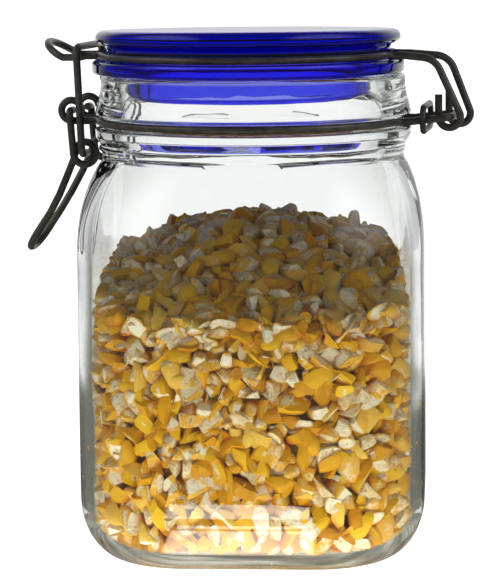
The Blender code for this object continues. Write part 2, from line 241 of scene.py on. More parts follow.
jar = {
    "half": 55.2, "corner": 35.0, "heel": 14.5, "heelHeight": 20.0, "wall": 4.3, "floor": 3.4,
    "innerHeel": 13.0, "shoulder": 98.0, "neckBottom": 127.0, "neck": 48.7, "lip": 153.6,
    "mouth": 43.0, "grooveReach": 48.2, "rim": 51.0, "turns": 144, "smooth": math.radians(42),
}
clamp = {
    "turn": math.radians(-7.5), "wire": 1.2, "clipWire": 1.0, "gap": 0.3, "bend": 3.5,
    "clipX": 56.4, "clipZ": 139.7, "clipHalf": 3.8, "clipLean": math.radians(-2.6),
    "collarZ": 138.8, "eye": 3.3, "eyeSide": 11.0, "leverAxis": (-57.6, 142.1),
    "linkAxis": (-52.95, 128.4), "loop": 3.57, "crossbar": (-54.3, 162.65),
    "hingeAxis": (65.35, 140.4), "curl": 3.45, "legSide": 8.5, "offset": 0.55,
    "nearKnee": (60.2, 158.6), "farKnee": (62.5, 158.7), "grip": 7.0,
    "lidWireZ": 159.7, "tabSide": 11.5, "tabBend": -60.0, "tabReach": 7.4, "tabRise": 4.6,
    "tabZ": 159.2,
}
lid = {
    "shift": -1.5, "top": 167.7, "flange": 50.3, "flangeBottom": 154.0, "flangeTop": 158.2,
    "groove": 46.0, "disc": 49.05, "plug": 40.0, "plugBottom": 144.8, "recess": 35.5,
    "recessTop": 157.0, "slant": 0.0175, "turns": 144, "smooth": math.radians(42),
}


def squareReach(angle, half, corner):
    # how far a rounded square reaches in one direction
    across = max(abs(math.cos(angle)), abs(math.sin(angle)))
    along = min(abs(math.cos(angle)), abs(math.sin(angle)))
    centre = half - corner
    if half * along / across <= centre:
        return half / across
    reach = centre * (across + along)
    return reach + math.sqrt(max(reach * reach - (2 * centre * centre - corner * corner), 0.0))


def shoulderShape(z):
    # half width and corner radius of the outside at a height: a square that turns round
    rise = min(max((z - jar["shoulder"]) / (jar["neckBottom"] - jar["shoulder"]), 0.0), 1.0)
    half = jar["half"] - (jar["half"] - jar["neck"]) * rise ** 2.6
    corner = jar["corner"] + (jar["neck"] - jar["corner"]) * rise ** 1.25
    return half, min(corner, half)


def insideShape(z):
    # half width and corner radius of the hollow at a height
    half = jar["half"] - jar["wall"]
    corner = jar["corner"] - jar["wall"]
    heel = jar["innerHeel"]
    if z < jar["floor"] + heel:
        drop = min((jar["floor"] + heel - z) / heel, 1.0)
        inset = heel * (1 - math.sqrt(max(1 - drop * drop, 0.0)))
        return half - inset, max(corner - inset, 4.0)
    if z < jar["shoulder"]:
        return half, corner
    if z < jar["neckBottom"]:
        outerHalf, outerCorner = shoulderShape(z)
        rise = (z - jar["shoulder"]) / (jar["neckBottom"] - jar["shoulder"])
        half = outerHalf - jar["wall"] - 1.1 * rise
        return half, min(outerCorner - jar["wall"], half)
    return jar["mouth"], jar["mouth"]


def wallReach(angle, z):
    half, corner = insideShape(z)
    return squareReach(angle, half, corner)


# clear glass jar

def outsideProfile():
    # from the middle of the underside, which is pressed in a little, up to the lip
    rows = [(0.0, 1.2), (20.0, 1.2), (30.0, 0.9), (34.0, 0.2),
            (jar["half"] - jar["heel"] * 0.985, 0.0)]
    for step in range(1, 19):
        turn = math.radians(5 * step)
        rows.append((jar["half"] - jar["heel"] * (1 - math.sin(turn)),
                     jar["heelHeight"] * (1 - math.cos(turn))))
    rows += [(jar["half"], z) for z in range(25, 97, 6)]
    rows += [(shoulderShape(z)[0], z) for z in [98 + 1.5 * step for step in range(19)]]
    # the neck: two rims with the groove of the collar wire between them, then the lip
    rim, groove, z = jar["rim"], jar["grooveReach"], clamp["collarZ"]
    rows += roundCorners([
        (jar["neck"], 126.6, 0), (jar["neck"] + 0.1, 128.0, 3.0), (49.3, 131.4, 3.0),
        (50.9, 134.0, 1.4), (rim, 136.6, 0.7), (groove + 0.6, 137.0, 0.4), (groove, 137.6, 0.5),
        (groove, z + 1.2, 0.5), (groove + 0.6, z + 1.75, 0.4), (rim, 140.9, 0.5),
        (50.7, 142.6, 2.5), (49.6, 146.5, 6.0), (49.2, 150.0, 6.0), (49.0, 152.8, 1.4),
        (47.6, jar["lip"], 1.0), (46.0, jar["lip"], 0)], 12)
    return rows


def insideProfile():
    # from the lip down to the middle of the inside floor
    mouth = jar["mouth"]
    rows = roundCorners([(44.6, jar["lip"], 0), (mouth + 0.1, jar["lip"] - 0.1, 1.1),
                         (mouth, 140.0, 8.0), (mouth + 0.15, 129.0, 0)], 12)
    rows += [(insideShape(z)[0], z) for z in [126.5 - 1.5 * step for step in range(20)]]
    rows += [(jar["half"] - jar["wall"], z) for z in range(94, 19, -6)]
    for step in range(18, 0, -1):
        turn = math.radians(5 * step)
        rows.append((jar["half"] - jar["wall"] - jar["innerHeel"] * (1 - math.sin(turn)),
                     jar["floor"] + jar["innerHeel"] * (1 - math.cos(turn))))
    rows += [(30.0, jar["floor"]), (18.0, jar["floor"] - 0.3), (0.0, jar["floor"] - 0.4)]
    return rows


def squareUp(piece):
    # the spun jar is round: below the neck each vertex moves out to the rounded square
    outer, least = jar["half"], 3.0
    for vertex in piece.data.vertices:
        x, y, z = vertex.co / mm
        reach = math.hypot(x, y)
        if z > jar["neckBottom"] or reach < 0.5:
            continue
        angle = math.atan2(y, x)
        half, corner = shoulderShape(z) if z > jar["shoulder"] else (outer, jar["corner"])
        inset = max(half - reach, 0.0)
        rounded = max(corner - inset, least)
        here = max(half - inset, least)
        share = squareReach(angle, here, min(rounded, half - inset)) / here
        vertex.co.x *= share
        vertex.co.y *= share
    piece.data.update()


def clearGlassLook():
    # slow waves all over, quicker ones in the neck, fine stipples on the foot
    look = Look("clearGlass", color=(0.98, 0.988, 0.985, 1.0), rough=0.0, glass=1.0, ior=1.5)
    place = look.coordinates()
    height = look.split(place)[2]
    neck = look.span(height, 0.118, 0.134)
    foot = 1.0 - look.span(height, 0.0005, 0.003)
    slow = look.noise(22.0, 2.0, 0.5, place)
    flat = look.node("Mapping", Vector=place, Scale=(1.0, 1.0, 3.2))
    quick = look.noise(48.0, 2.0, 0.5, flat)
    stipple = look.noise(1100.0, 1.0, 0.5, place)
    waves = look.bump(slow, 0.14, 0.004)
    waves = look.bump(stipple * foot, 0.6, 0.0004, waves)
    look.set("normal", look.bump(quick * neck, 0.12, 0.0012, waves))
    look.tint((0.66, 0.78, 0.66), 10.0)
    return look.material


def buildJar():
    profile = outsideProfile() + insideProfile()
    piece = spinProfile(profile, jar["turns"])
    squareUp(piece)
    pickOnly(piece)
    bpy.ops.object.shade_smooth_by_angle(angle=jar["smooth"])
    finishPiece(piece, "clearJar", clearGlassLook(), "jar", "jar_glass")


# blue glass lid

def blueGlassLook():
    look = Look("blueGlass", color=(0.34, 0.45, 0.98, 1.0), rough=0.0, glass=1.0, ior=1.5)
    waves = look.noise(40.0, 2.0, 0.5)
    look.set("normal", look.bump(waves, 0.10, 0.002))
    look.tint((0.45, 0.21, 0.94), 155.0)
    return look.material


def buildLid():
    groove, flange, disc = lid["groove"], lid["flange"], lid["disc"]
    profile = roundCorners([
        (0.0, lid["recessTop"] + 0.6, 0), (lid["recess"] - 5.0, lid["recessTop"], 8.0),
        (lid["recess"] - 0.4, lid["recessTop"] - 0.6, 3.0), (lid["recess"], lid["plugBottom"], 2.1),
        (lid["plug"] - 0.2, lid["plugBottom"], 2.3), (lid["plug"] + 0.5, lid["flangeBottom"], 0.7),
        (flange, lid["flangeBottom"], 1.0), (flange, lid["flangeTop"], 1.2),
        (groove, lid["flangeTop"], 0.6), (groove, 162.9, 1.6), (disc - 1.0, 163.5, 0.6),
        (disc, 164.4, 0.8), (disc, lid["top"] - 0.1, 2.4), (disc - 6.0, lid["top"], 3.0),
        (30.0, lid["top"] - 0.1, 0), (0.0, lid["top"] - 0.3, 0)], 10)
    piece = spinProfile(profile, lid["turns"])
    for vertex in piece.data.vertices:
        # the pressed top is a little higher in front
        rise = min(max((vertex.co.z / mm - 164.9) / 1.6, 0.0), 1.0)
        vertex.co.z -= rise * lid["slant"] * vertex.co.y
    # the lid sits a little towards the latch
    piece.location = Matrix.Rotation(clamp["turn"], 3, "Z") @ Vector((lid["shift"] * mm, 0, 0))
    settle(piece)
    bpy.ops.object.shade_smooth_by_angle(angle=lid["smooth"])
    finishPiece(piece, "blueLid", blueGlassLook(), "lid", "lid_glass")


# wires, each a path in the clamp's own frame, in millimetres

passing = 2 * clamp["wire"] + clamp["gap"]
leverSide = clamp["eyeSide"] + passing
linkSide = leverSide + passing
armSide = clamp["legSide"] + passing + 0.1
collarReach = jar["grooveReach"] + clamp["wire"] + clamp["gap"]
lidWireReach = lid["groove"] + clamp["wire"] + 0.15


def arcPath(centre, radius, start, end, step=7.0, plane="xz", fixed=0.0, fixedEnd=None):
    count = max(2, int(math.ceil(abs(end - start) / step)) + 1)
    points = []
    for index in range(count):
        share = index / (count - 1)
        angle = math.radians(start + (end - start) * share)
        first = centre[0] + radius * math.cos(angle)
        second = centre[1] + radius * math.sin(angle)
        third = fixed if fixedEnd is None else fixed + (fixedEnd - fixed) * share
        points.append((first, third, second) if plane == "xz" else (first, second, third))
    return points


def bentPath(corners, radii, step=9.0):
    # a path in space, each inner corner replaced by an arc of its radius
    path = [corners[0]]
    for before, corner, after, radius in zip(corners, corners[1:], corners[2:], radii):
        middle = Vector(corner)
        back = (Vector(before) - middle).normalized()
        ahead = (Vector(after) - middle).normalized()
        opening = back.angle(ahead)
        trim = radius / math.tan(opening / 2)
        centre = middle + (back + ahead).normalized() * (radius / math.sin(opening / 2))
        start = middle + back * trim - centre
        end = middle + ahead * trim - centre
        turn = start.angle(end)
        count = max(2, int(math.ceil(math.degrees(turn) / step)) + 1)
        for index in range(count):
            share = index / (count - 1)
            spoke = start * math.sin((1 - share) * turn) + end * math.sin(share * turn)
            path.append(tuple(centre + spoke / math.sin(turn)))
    path.append(corners[-1])
    return path


def mirrorPath(half):
    # the near half of a wire, and the same once more on the far side
    return half + [(x, -y, z) for x, y, z in reversed(half) if abs(y) > 1e-6]


def grooveBend(reach, side, towardHinge, shift=0.0):
    # the bend by which a wire leaves its round groove at a distance from the middle
    bend = clamp["bend"]
    out = math.sqrt((reach + bend) ** 2 - (side + bend) ** 2)
    slope = math.degrees(math.asin((side + bend) / (reach + bend)))
    return (shift + (out if towardHinge else -out), -(side + bend)), slope


def collarPath():
    bend, z, side = clamp["bend"], clamp["collarZ"], clamp["eyeSide"]
    barX, barZ = clamp["hingeAxis"]
    latchCentre, latchSlope = grooveBend(collarReach, side, False)
    hingeCentre, hingeSlope = grooveBend(collarReach, armSide, True)
    path = arcPath(clamp["leverAxis"], clamp["eye"], -362, -90, 9, fixed=-side)
    path += arcPath(latchCentre, bend, 90, latchSlope, 9, "xy", z)
    path += arcPath((0, 0), collarReach, 180 + latchSlope, 360 - hingeSlope, 3, "xy", z)[1:-1]
    path += arcPath(hingeCentre, bend, 180 - hingeSlope, 90, 9, "xy", z)
    path += bentPath([path[-1], (barX, -armSide, barZ), (barX, 0, barZ)], [3.0])[1:]
    return mirrorPath(path)


def clipPath():
    halfHeight = clamp["clipHalf"]
    halfWidth = armSide + clamp["wire"] + clamp["gap"] + clamp["clipWire"]
    straight = halfWidth - halfHeight
    points = []
    for side in (-1, 1):
        for degrees in range(-90, 91, 10):
            angle = math.radians(degrees)
            across = side * (straight + halfHeight * math.cos(angle))
            height = clamp["clipZ"] + side * halfHeight * math.sin(angle)
            points.append((clamp["clipX"] + math.tan(clamp["clipLean"]) * across, across, height))
    return points


def hingeLeg(side, offset, knee):
    # the curl round the hinge bar, up over the knee and along to the lid's groove
    curlX, curlZ = clamp["hingeAxis"][0] + offset, clamp["hingeAxis"][1]
    centre, slope = grooveBend(lidWireReach, clamp["legSide"], True, lid["shift"])
    y = side * clamp["legSide"]
    path = [(curlX - clamp["curl"], y, 147.4)]
    path += arcPath((curlX, curlZ), clamp["curl"], 180, 385, 9, fixed=y)
    edge = lid["shift"] + lid["flange"] + 1.0
    path += bentPath([path[-1], (knee[0], y, knee[1]), (edge, y, clamp["lidWireZ"])], [6.5], 6)[1:]
    bend = arcPath(centre, clamp["bend"], 90, 180 - slope, 9, "xy", clamp["lidWireZ"])
    return path + [(x, -side * across, z) for x, across, z in bend]


def lidWirePath():
    z, side = clamp["lidWireZ"], clamp["tabSide"]
    hingeSlope = grooveBend(lidWireReach, clamp["legSide"], True, lid["shift"])[1]
    centre, slope = grooveBend(lidWireReach, side, False, lid["shift"])
    half = arcPath((lid["shift"], 0), lidWireReach, 360 - hingeSlope, 180 + slope, 3, "xy", z)[1:-1]
    half += arcPath(centre, clamp["bend"], slope, 90, 9, "xy", z)
    half.append((lid["shift"] - lid["flange"] - 0.6, -side, z))
    half.append((clamp["crossbar"][0] - 0.3, -side, clamp["tabZ"]))
    for degrees in range(90, 4, -5):
        reach = math.cos(math.radians(degrees))
        half.append((clamp["tabBend"] - clamp["tabReach"] * reach,
                     -side * math.sin(math.radians(degrees)),
                     clamp["tabZ"] + clamp["tabRise"] * reach ** 1.2))
    half.append((clamp["tabBend"] - clamp["tabReach"], 0.0, clamp["tabZ"] + clamp["tabRise"]))
    nearLeg = hingeLeg(-1, -clamp["offset"], clamp["nearKnee"])
    farLeg = hingeLeg(1, clamp["offset"], clamp["farKnee"])
    return nearLeg + mirrorPath(half) + farLeg[::-1]


def leverPath():
    # from the collar's eye round the link's hook, then down into the long handle
    (axisX, axisZ), (loopX, loopZ) = clamp["leverAxis"], clamp["linkAxis"]
    inner, grip = leverSide - passing, clamp["grip"]
    span = math.hypot(loopX - axisX, loopZ - axisZ)
    lean = (math.degrees(math.atan2(loopX - axisX, axisZ - loopZ))
            - math.degrees(math.asin(clamp["loop"] / span)))
    loop = arcPath(clamp["linkAxis"], clamp["loop"], 180 + lean, 517, 8, fixed=-leverSide,
                   fixedEnd=-inner)
    path = bentPath([(axisX, -inner + 2.0, axisZ), (axisX, -leverSide, axisZ), loop[0]], [1.5])[:-1]
    path += loop
    path += [(-57.2, 0.3 - inner, 126.4), (-59.9, 1.3 - inner, 120.6), (-63.0, -grip - 1.0, 114.4)]
    tip = (-74.5, 96.6)
    path += bentPath([(-66.4, -grip, 108.6), (tip[0], -grip, tip[1]), (tip[0], 0.0, tip[1])],
                     [grip - 1.0], 9)
    return mirrorPath(path)


def linkPath():
    hookX, hookZ = clamp["linkAxis"]
    barX, barZ = clamp["crossbar"]
    corners = [(hookX, -linkSide + 2 * passing + 1.0, hookZ), (hookX, -linkSide, hookZ),
               (barX, -linkSide, barZ), (barX, 0.0, barZ)]
    return mirrorPath(bentPath(corners, [2.0, 3.2]))


def drawWire(points, radius, closed=False):
    # drawn as a round curve, turned into a mesh, its two end caps bevelled
    curve = bpy.data.curves.new("wire", "CURVE")
    curve.dimensions = "3D"
    curve.bevel_depth = radius * mm
    curve.bevel_resolution = 6
    curve.use_fill_caps = True
    spline = curve.splines.new("POLY")
    spline.points.add(len(points) - 1)
    turned = Matrix.Rotation(clamp["turn"], 3, "Z")
    for target, point in zip(spline.points, points):
        target.co = (*(turned @ Vector(point) * mm), 1.0)
    spline.use_cyclic_u = closed
    spline.use_smooth = True
    piece = bpy.data.objects.new("wire", curve)
    bpy.context.collection.objects.link(piece)
    pickOnly(piece)
    bpy.ops.object.convert(target="MESH")
    piece = bpy.context.object
    bpy.ops.object.mode_set(mode="EDIT")
    bpy.ops.mesh.select_all(action="DESELECT")
    bpy.ops.mesh.select_mode(type="FACE")
    bpy.ops.object.mode_set(mode="OBJECT")
    for face in piece.data.polygons:
        face.select = len(face.vertices) > 4
    bpy.ops.object.mode_set(mode="EDIT")
    if not closed:
        bpy.ops.mesh.bevel(offset=0.3 * mm, segments=3, affect="EDGES")
    bpy.ops.mesh.select_all(action="SELECT")
    bpy.ops.mesh.normals_make_consistent(inside=False)
    bpy.ops.object.mode_set(mode="OBJECT")
    bpy.ops.object.shade_smooth_by_angle(angle=math.radians(50))
    return piece


def darkSteelLook():
    look = Look("darkSteel", metal=0.9, specular=0.5)
    place = look.coordinates()
    grime = look.noise(260.0, 5.0, 0.6, place)
    patches = look.noise(45.0, 3.0, 0.5, place)
    tone = look.ramp(grime * 0.55 + patches * 0.45,
                     [(0.3, (0.07, 0.066, 0.058)), (0.5, (0.125, 0.12, 0.105)),
                      (0.7, (0.20, 0.19, 0.17))])
    look.set("color", tone)
    look.set("rough", 0.30 + grime * 0.22)
    look.set("normal", look.bump(look.noise(900.0, 4.0, 0.6, place), 0.25, 0.00012))
    return look.material


def buildWires():
    steel = darkSteelLook()
    wires = (
        ("collarWire", collarPath(), clamp["wire"], False, "jar", "collar_wire"),
        ("collarClip", clipPath(), clamp["clipWire"], True, "jar", "collar_clip"),
        ("lidWire", lidWirePath(), clamp["wire"], False, "lid", "lid_wire"),
        ("leverWire", leverPath(), clamp["wire"], False, "lever", "lever"),
        ("linkWire", linkPath(), clamp["wire"], False, "link", "link"),
    )
    for name, path, radius, closed, body, node in wires:
        piece = drawWire(path, radius, closed)
        finishPiece(piece, name, steel, body, node)


# cracked corn

corn = {
    "edge": 87.0, "tilt": 11.0, "cornerLift": 6.0, "mound": 15.5, "moundReach": 75.0, "peak": 8.0,
    "kernel": (6.3, 4.3, 2.7), "taper": 0.22, "swell": 0.12, "size": (0.88, 1.24),
    "shapes": 24, "seed": 41, "goldShare": 0.41, "spacing": 5.6, "rowShare": 0.87,
    "wallDepths": (1.9, 5.2), "topDepths": (1.5, 4.6), "coreDepth": 6.0, "height": 108,
    "topReach": 75, "floorReach": 60,
}


def moundHeight(x, y):
    # the heap's surface: a slope, lifted in the front corners, with a soft mound on it
    slope = corn["edge"] + corn["tilt"] * y / jar["half"]
    slope += corn["cornerLift"] * (x / jar["half"]) ** 2 * max(-y, 0.0) / jar["half"]
    distance = min(math.hypot(x, y - corn["peak"]) / corn["moundReach"], 1.0)
    return slope + corn["mound"] * (0.5 + 0.5 * math.cos(math.pi * distance))


def kernelSpot(point):
    # a point's place in the whole kernel: 0 at its heart, 1 on its skin
    length, width, thick = corn["kernel"]
    taper = 1.0 - corn["taper"] * point.x / length
    swell = 1 + corn["swell"] * point.x / length
    return Vector((point.x / length, point.y / (width * taper), point.z / (thick * swell)))


def crackKernel(draw, cuts):
    # a whole kernel, cut by planes into one chip
    deselectAll()
    bpy.ops.mesh.primitive_ico_sphere_add(subdivisions=2, radius=1.0, location=(0, 0, 0))
    chip = bpy.context.object
    length, width, thick = corn["kernel"]
    for vertex in chip.data.vertices:
        x, y, z = vertex.co
        vertex.co = (length * x, width * (1.0 - corn["taper"] * x) * y,
                     thick * z * (1 + corn["swell"] * x))
    bpy.ops.object.mode_set(mode="EDIT")
    side, end = draw.choice((-1.57, 1.57)), draw.choice((0.0, 3.14))
    for number in range(cuts):
        # split lengthways, broken across, then trimmed on the sides that are left
        turn = (side, end, -side, end + 3.14)[number] + draw.gauss(0, 0.3)
        normal = Vector((math.cos(turn), math.sin(turn), draw.gauss(0, 0.3))).normalized()
        reach = Vector((length * normal.x, width * normal.y, thick * normal.z)).length
        low, high = ((-0.15, 0.3), (0.15, 0.7), (0.3, 0.7), (0.3, 0.7))[number]
        bpy.ops.mesh.select_all(action="SELECT")
        bpy.ops.mesh.bisect(plane_co=normal * reach * draw.uniform(low, high), plane_no=normal,
                            use_fill=True, clear_outer=True)
        bpy.ops.mesh.select_all(action="SELECT")
        bpy.ops.mesh.remove_doubles(threshold=0.3)
    bpy.ops.mesh.vertices_smooth(factor=0.3)
    bpy.ops.mesh.quads_convert_to_tris()
    bpy.ops.mesh.normals_make_consistent(inside=False)
    bpy.ops.object.mode_set(mode="OBJECT")
    points = [vertex.co.copy() for vertex in chip.data.vertices]
    faces = [tuple(face.vertices) for face in chip.data.polygons]
    depth = [kernelSpot(point) for point in points]
    middle = sum(points, Vector()) / len(points)
    bpy.data.objects.remove(chip, do_unlink=True)
    return [point - middle for point in points], faces, depth


def layChips(spots, shapes, draw):
    # every chip is one of the shapes, turned and sized by chance, and kept inside the glass
    vertices, faces, depth, tint, sunk = [], [], [], [], []
    for spot, outward, flat in spots:
        points, shapeFaces, shapeDepth = draw.choice(shapes)
        size = draw.uniform(*corn["size"])
        lying = Vector((0, 0, 1)).rotation_difference(outward).to_matrix()
        tilt = Euler((draw.gauss(0, flat), draw.gauss(0, flat), draw.uniform(0, 6.283))).to_matrix()
        turned = keepInside([lying @ (tilt @ (point * size)) + spot for point in points])
        start = len(vertices)
        vertices += [point * mm for point in turned]
        faces += [tuple(start + index for index in face) for face in shapeFaces]
        depth += shapeDepth
        tint += [draw.random()] * len(points)
        # how deep each point lies below its chip's spot: the mask for the painted shade in the
        # corn's colour
        sunk += [(spot - point).dot(outward) for point in turned]
    return vertices, faces, depth, tint, sunk


def keepInside(points):
    # the chip slides in until it touches the glass
    over = 0.0
    for x, y, z in points:
        angle = math.atan2(y, x)
        over = max(over, math.hypot(x, y) - wallReach(angle, max(z, jar["floor"] + 0.05)))
    low = min(z for x, y, z in points)
    lift = max(jar["floor"] - 0.1 - low, 0.0)
    middle = sum(points, Vector()) / len(points)
    inward = Vector((-middle.x, -middle.y, 0))
    if inward.length > 1e-6:
        inward.normalize()
    shift = inward * max(over - 0.04, 0.0) + Vector((0, 0, lift))
    return [point + shift for point in points]


def wallSpots(depth, draw):
    # rows of chips behind the glass, from the floor up to the heap's surface
    spots = []
    spacing = corn["spacing"]
    rows = int(corn["height"] / (spacing * corn["rowShare"]))
    for row in range(rows):
        z = jar["floor"] + 1.0 + row * spacing * corn["rowShare"]
        reach = insideShape(min(z, 95))[0]
        columns = int(2 * math.pi * reach * 1.14 / spacing)
        for column in range(columns):
            angle = (column + 0.5 * (row % 2) + draw.uniform(-0.3, 0.3)) * 2 * math.pi / columns
            height = z + draw.uniform(-0.35, 0.35) * spacing
            height = max(height, jar["floor"] + 0.8)
            out = wallReach(angle, height) - depth - draw.uniform(0.0, 1.2)
            x, y = out * math.cos(angle), out * math.sin(angle)
            if height > moundHeight(x, y) - 2.0:
                continue
            here = wallReach(angle, height)
            aside = wallReach(angle + 0.02, height)
            along = (aside * Vector((math.cos(angle + 0.02), math.sin(angle + 0.02), 0))
                     - here * Vector((math.cos(angle), math.sin(angle), 0)))
            outward = along.cross(Vector((0, 0, 1))).normalized()
            drop = max(jar["floor"] + jar["innerHeel"] - height, 0.0) / jar["innerHeel"]
            outward = (outward + Vector((0, 0, -1.2 * drop ** 2))).normalized()
            spots.append((Vector((x, y, height)), outward, 0.85))
    return spots


def topSpots(depth, draw):
    # a layer of chips that follows the heap's surface
    spots = []
    spacing = corn["spacing"]
    count = int(corn["topReach"] / spacing)
    for row in range(-count, count + 1):
        for column in range(-count, count + 1):
            x = (column + 0.5 * (row % 2) + draw.uniform(-0.35, 0.35)) * spacing
            y = (row + draw.uniform(-0.35, 0.35)) * spacing * corn["rowShare"]
            if math.hypot(x, y) > wallReach(math.atan2(y, x), 90) - 1.5:
                continue
            z = moundHeight(x, y) - depth + draw.uniform(-0.8, 0.9)
            slope = Vector((moundHeight(x - 1, y) - moundHeight(x + 1, y),
                            moundHeight(x, y - 1) - moundHeight(x, y + 1), 2.0)).normalized()
            spots.append((Vector((x, y, z)), slope, 0.5))
    return spots


def floorSpots(draw):
    # a layer of chips on the inside floor
    spots = []
    spacing = corn["spacing"]
    count = int(corn["floorReach"] / spacing)
    for row in range(-count, count + 1):
        for column in range(-count, count + 1):
            x = (column + 0.5 * (row % 2) + draw.uniform(-0.3, 0.3)) * spacing
            y = (row + draw.uniform(-0.3, 0.3)) * spacing * corn["rowShare"]
            if math.hypot(x, y) > wallReach(math.atan2(y, x), jar["floor"] + 1.5) - 1.0:
                continue
            spots.append((Vector((x, y, jar["floor"] + 1.6)), Vector((0, 0, -1)), 0.4))
    return spots


def cornLook(name, horn, flour, heart):
    # smooth horny yellow outside, floury cream at the heart of a cracked kernel
    look = Look(name, ior=1.46, specular=0.22)
    place = look.coordinates()
    tint = look.node("Attribute", {"attribute_name": "tint"}, output="Fac")
    sunk = look.node("Attribute", {"attribute_name": "sunk"}, output="Fac")
    kernel = look.node("Attribute", {"attribute_name": "kernel"}, output="Vector")
    depth = look.node("VectorMath", {"operation": "LENGTH"}, output="Value", s0=kernel)
    cloud = look.noise(260.0, 3.0, 0.6, place)
    speck = look.noise(1000.0, 3.0, 0.65, place)
    edge = depth + (cloud - 0.5) * 0.7 + (speck - 0.5) * 0.35 + (tint - 0.5) * 0.22
    floury = 1.0 - look.span(edge, heart, heart + 0.16)
    shade = tint * 0.5 + cloud * 0.5
    hornTone = look.ramp(shade, [(0.2, horn[2]), (0.5, horn[1]), (0.8, horn[0])])
    flourTone = look.ramp(tint * 0.15 + cloud * 0.55 + speck * 0.55 - 0.08,
                          [(0.34, flour[3]), (0.45, flour[2]), (0.54, flour[1]), (0.66, flour[0])])
    tone = look.mix(floury, hornTone, flourTone)
    # painted shade: deeper in the heap each chip is darkened towards a warm brown, in place of the
    # shade and warm bounce light among the chips
    inner = look.span(sunk, -0.6, 2.4) * 0.92
    look.set("color", look.mix(inner, tone, look.node(
        "Mix", {"data_type": "RGBA", "blend_type": "MULTIPLY"}, output="Result", s0=1.0, s6=tone,
        s7=(0.74, 0.34, 0.06, 1.0))))
    look.set("rough", 0.36 + floury * 0.34)
    coarse = look.bump(cloud, 0.5, 0.0007)
    look.set("normal", look.bump(speck * (0.2 + floury), 0.7, 0.0004, coarse))
    return look.material


def cornPiece(name, spots, shapes, draw, look):
    vertices, faces, depth, tint, sunk = layChips(spots, shapes, draw)
    mesh = bpy.data.meshes.new(name)
    mesh.from_pydata(vertices, [], faces)
    piece = bpy.data.objects.new(name, mesh)
    bpy.context.collection.objects.link(piece)
    finishPiece(piece, name, look, "jar")
    mesh.attributes.new("tint", "FLOAT", "POINT").data.foreach_set("value", tint)
    # depth below each chip's spot, read by the corn material for its painted shade
    mesh.attributes.new("sunk", "FLOAT", "POINT").data.foreach_set("value", sunk)
    kernel = mesh.attributes.new("kernel", "FLOAT_VECTOR", "POINT")
    kernel.data.foreach_set("vector", [part for spot in depth for part in spot])
    pickOnly(piece)
    bpy.ops.object.shade_smooth_by_angle(angle=math.radians(50))
    print(name, len(mesh.polygons), "faces")


def buildCore(look):
    # the inside of the heap, under the chips: it stands for the corn deeper in, and its dark brown
    # is painted shade seen in the gaps between them
    depth = corn["coreDepth"]
    rows = [(0.0, jar["floor"] + depth)]
    for step in range(9):
        z = jar["floor"] + depth + step * (corn["edge"] - jar["floor"] - depth - 4) / 8
        rows.append((insideShape(z)[0] - depth, z))
    for share in (0.88, 0.75, 0.6, 0.45, 0.3, 0.15, 0.0):
        rows.append(((jar["half"] - jar["wall"] - depth) * share,
                     moundHeight(0, 0) - 5 - share * share * 15))
    core = spinProfile(rows, 64)
    print("core", len(core.data.polygons), "faces")
    for vertex in core.data.vertices:
        x, y, z = vertex.co / mm
        reach = math.hypot(x, y)
        if reach < 0.5:
            vertex.co.z = min(z, moundHeight(x, y) - depth) * mm
            continue
        angle = math.atan2(y, x)
        half, corner = insideShape(max(z, jar["floor"] + 1))
        share = squareReach(angle, half, corner) / half
        x, y = x * share, y * share
        vertex.co = Vector((x, y, min(z, moundHeight(x, y) - depth))) * mm
    finishPiece(core, "cornCore", look, "jar", "corn_heap")
    pickOnly(core)
    bpy.ops.object.shade_smooth_by_angle(angle=math.radians(60))


# dark brown painted shade for the heap's inside, seen between the chips
def coreLook():
    look = Look("cornPaintedShade", ior=1.46)
    cloud = look.noise(230.0, 3.0, 0.55)
    look.set("color", look.ramp(cloud, [(0.3, (0.22, 0.085, 0.008)), (0.7, (0.42, 0.18, 0.02))]))
    look.set("rough", 0.5 + cloud * 0.3)
    look.set("normal", look.bump(cloud, 0.8, 0.002))
    return look.material


def buildCorn():
    draw = random.Random(corn["seed"])
    gold = cornLook("goldKernel", ((0.90, 0.56, 0.014), (0.82, 0.42, 0.007), (0.62, 0.25, 0.004)),
                    ((0.92, 0.80, 0.46), (0.86, 0.66, 0.26), (0.74, 0.48, 0.12),
                     (0.60, 0.34, 0.07)), 0.30)
    pale = cornLook("paleKernel", ((0.88, 0.58, 0.09), (0.80, 0.43, 0.035), (0.66, 0.30, 0.015)),
                    ((1.0, 0.94, 0.74), (0.96, 0.86, 0.60), (0.84, 0.68, 0.38),
                     (0.52, 0.38, 0.19)), 0.78)
    shapes = [crackKernel(draw, 2 + number % 3) for number in range(corn["shapes"])]
    print("kernels cracked")
    spots = []
    for depth in corn["wallDepths"]:
        spots += wallSpots(depth, draw)
    for depth in corn["topDepths"]:
        spots += topSpots(depth, draw)
    spots += floorSpots(draw)
    draw.shuffle(spots)
    split = int(len(spots) * corn["goldShare"])
    cornPiece("goldChips", spots[:split], shapes, draw, gold)
    cornPiece("paleChips", spots[split:], shapes, draw, pale)
    buildCore(coreLook())
    print("corn laid:", len(spots), "chips")


# studio

studio = {
    "camera": (0.0618462, -0.8978725, 0.2008203), "right": (0.997676, 0.0674587, -0.0095881),
    "up": (0.000701, 0.1305482, 0.9914417), "ahead": (-0.0681331, 0.9891443, -0.1301976),
    "lens": 172.28, "shift": -0.00855,
    "white": 1.12, "dim": 0.10, "back": 0.95, "lamps": 0.9, "fill": 0.19, "key": 0.35, "top": 0.1,
    "table": 4.3, "tableReach": (0.20, 0.34), "lift": 0.95, "paper": (0.24, 0.42),
    # bright patches low in front that shine in the heel: place, width and depth in metres, and
    # how far off the glass may be that mirrors them
    "patches": ((-0.004, -0.0655, 0.050, 0.024, 0.036), (-0.004, -0.0850, 0.045, 0.008, 0.060),
                (-0.016, -0.137, 0.072, 0.044, 0.140)),
    "patchGlow": 7.0,
}


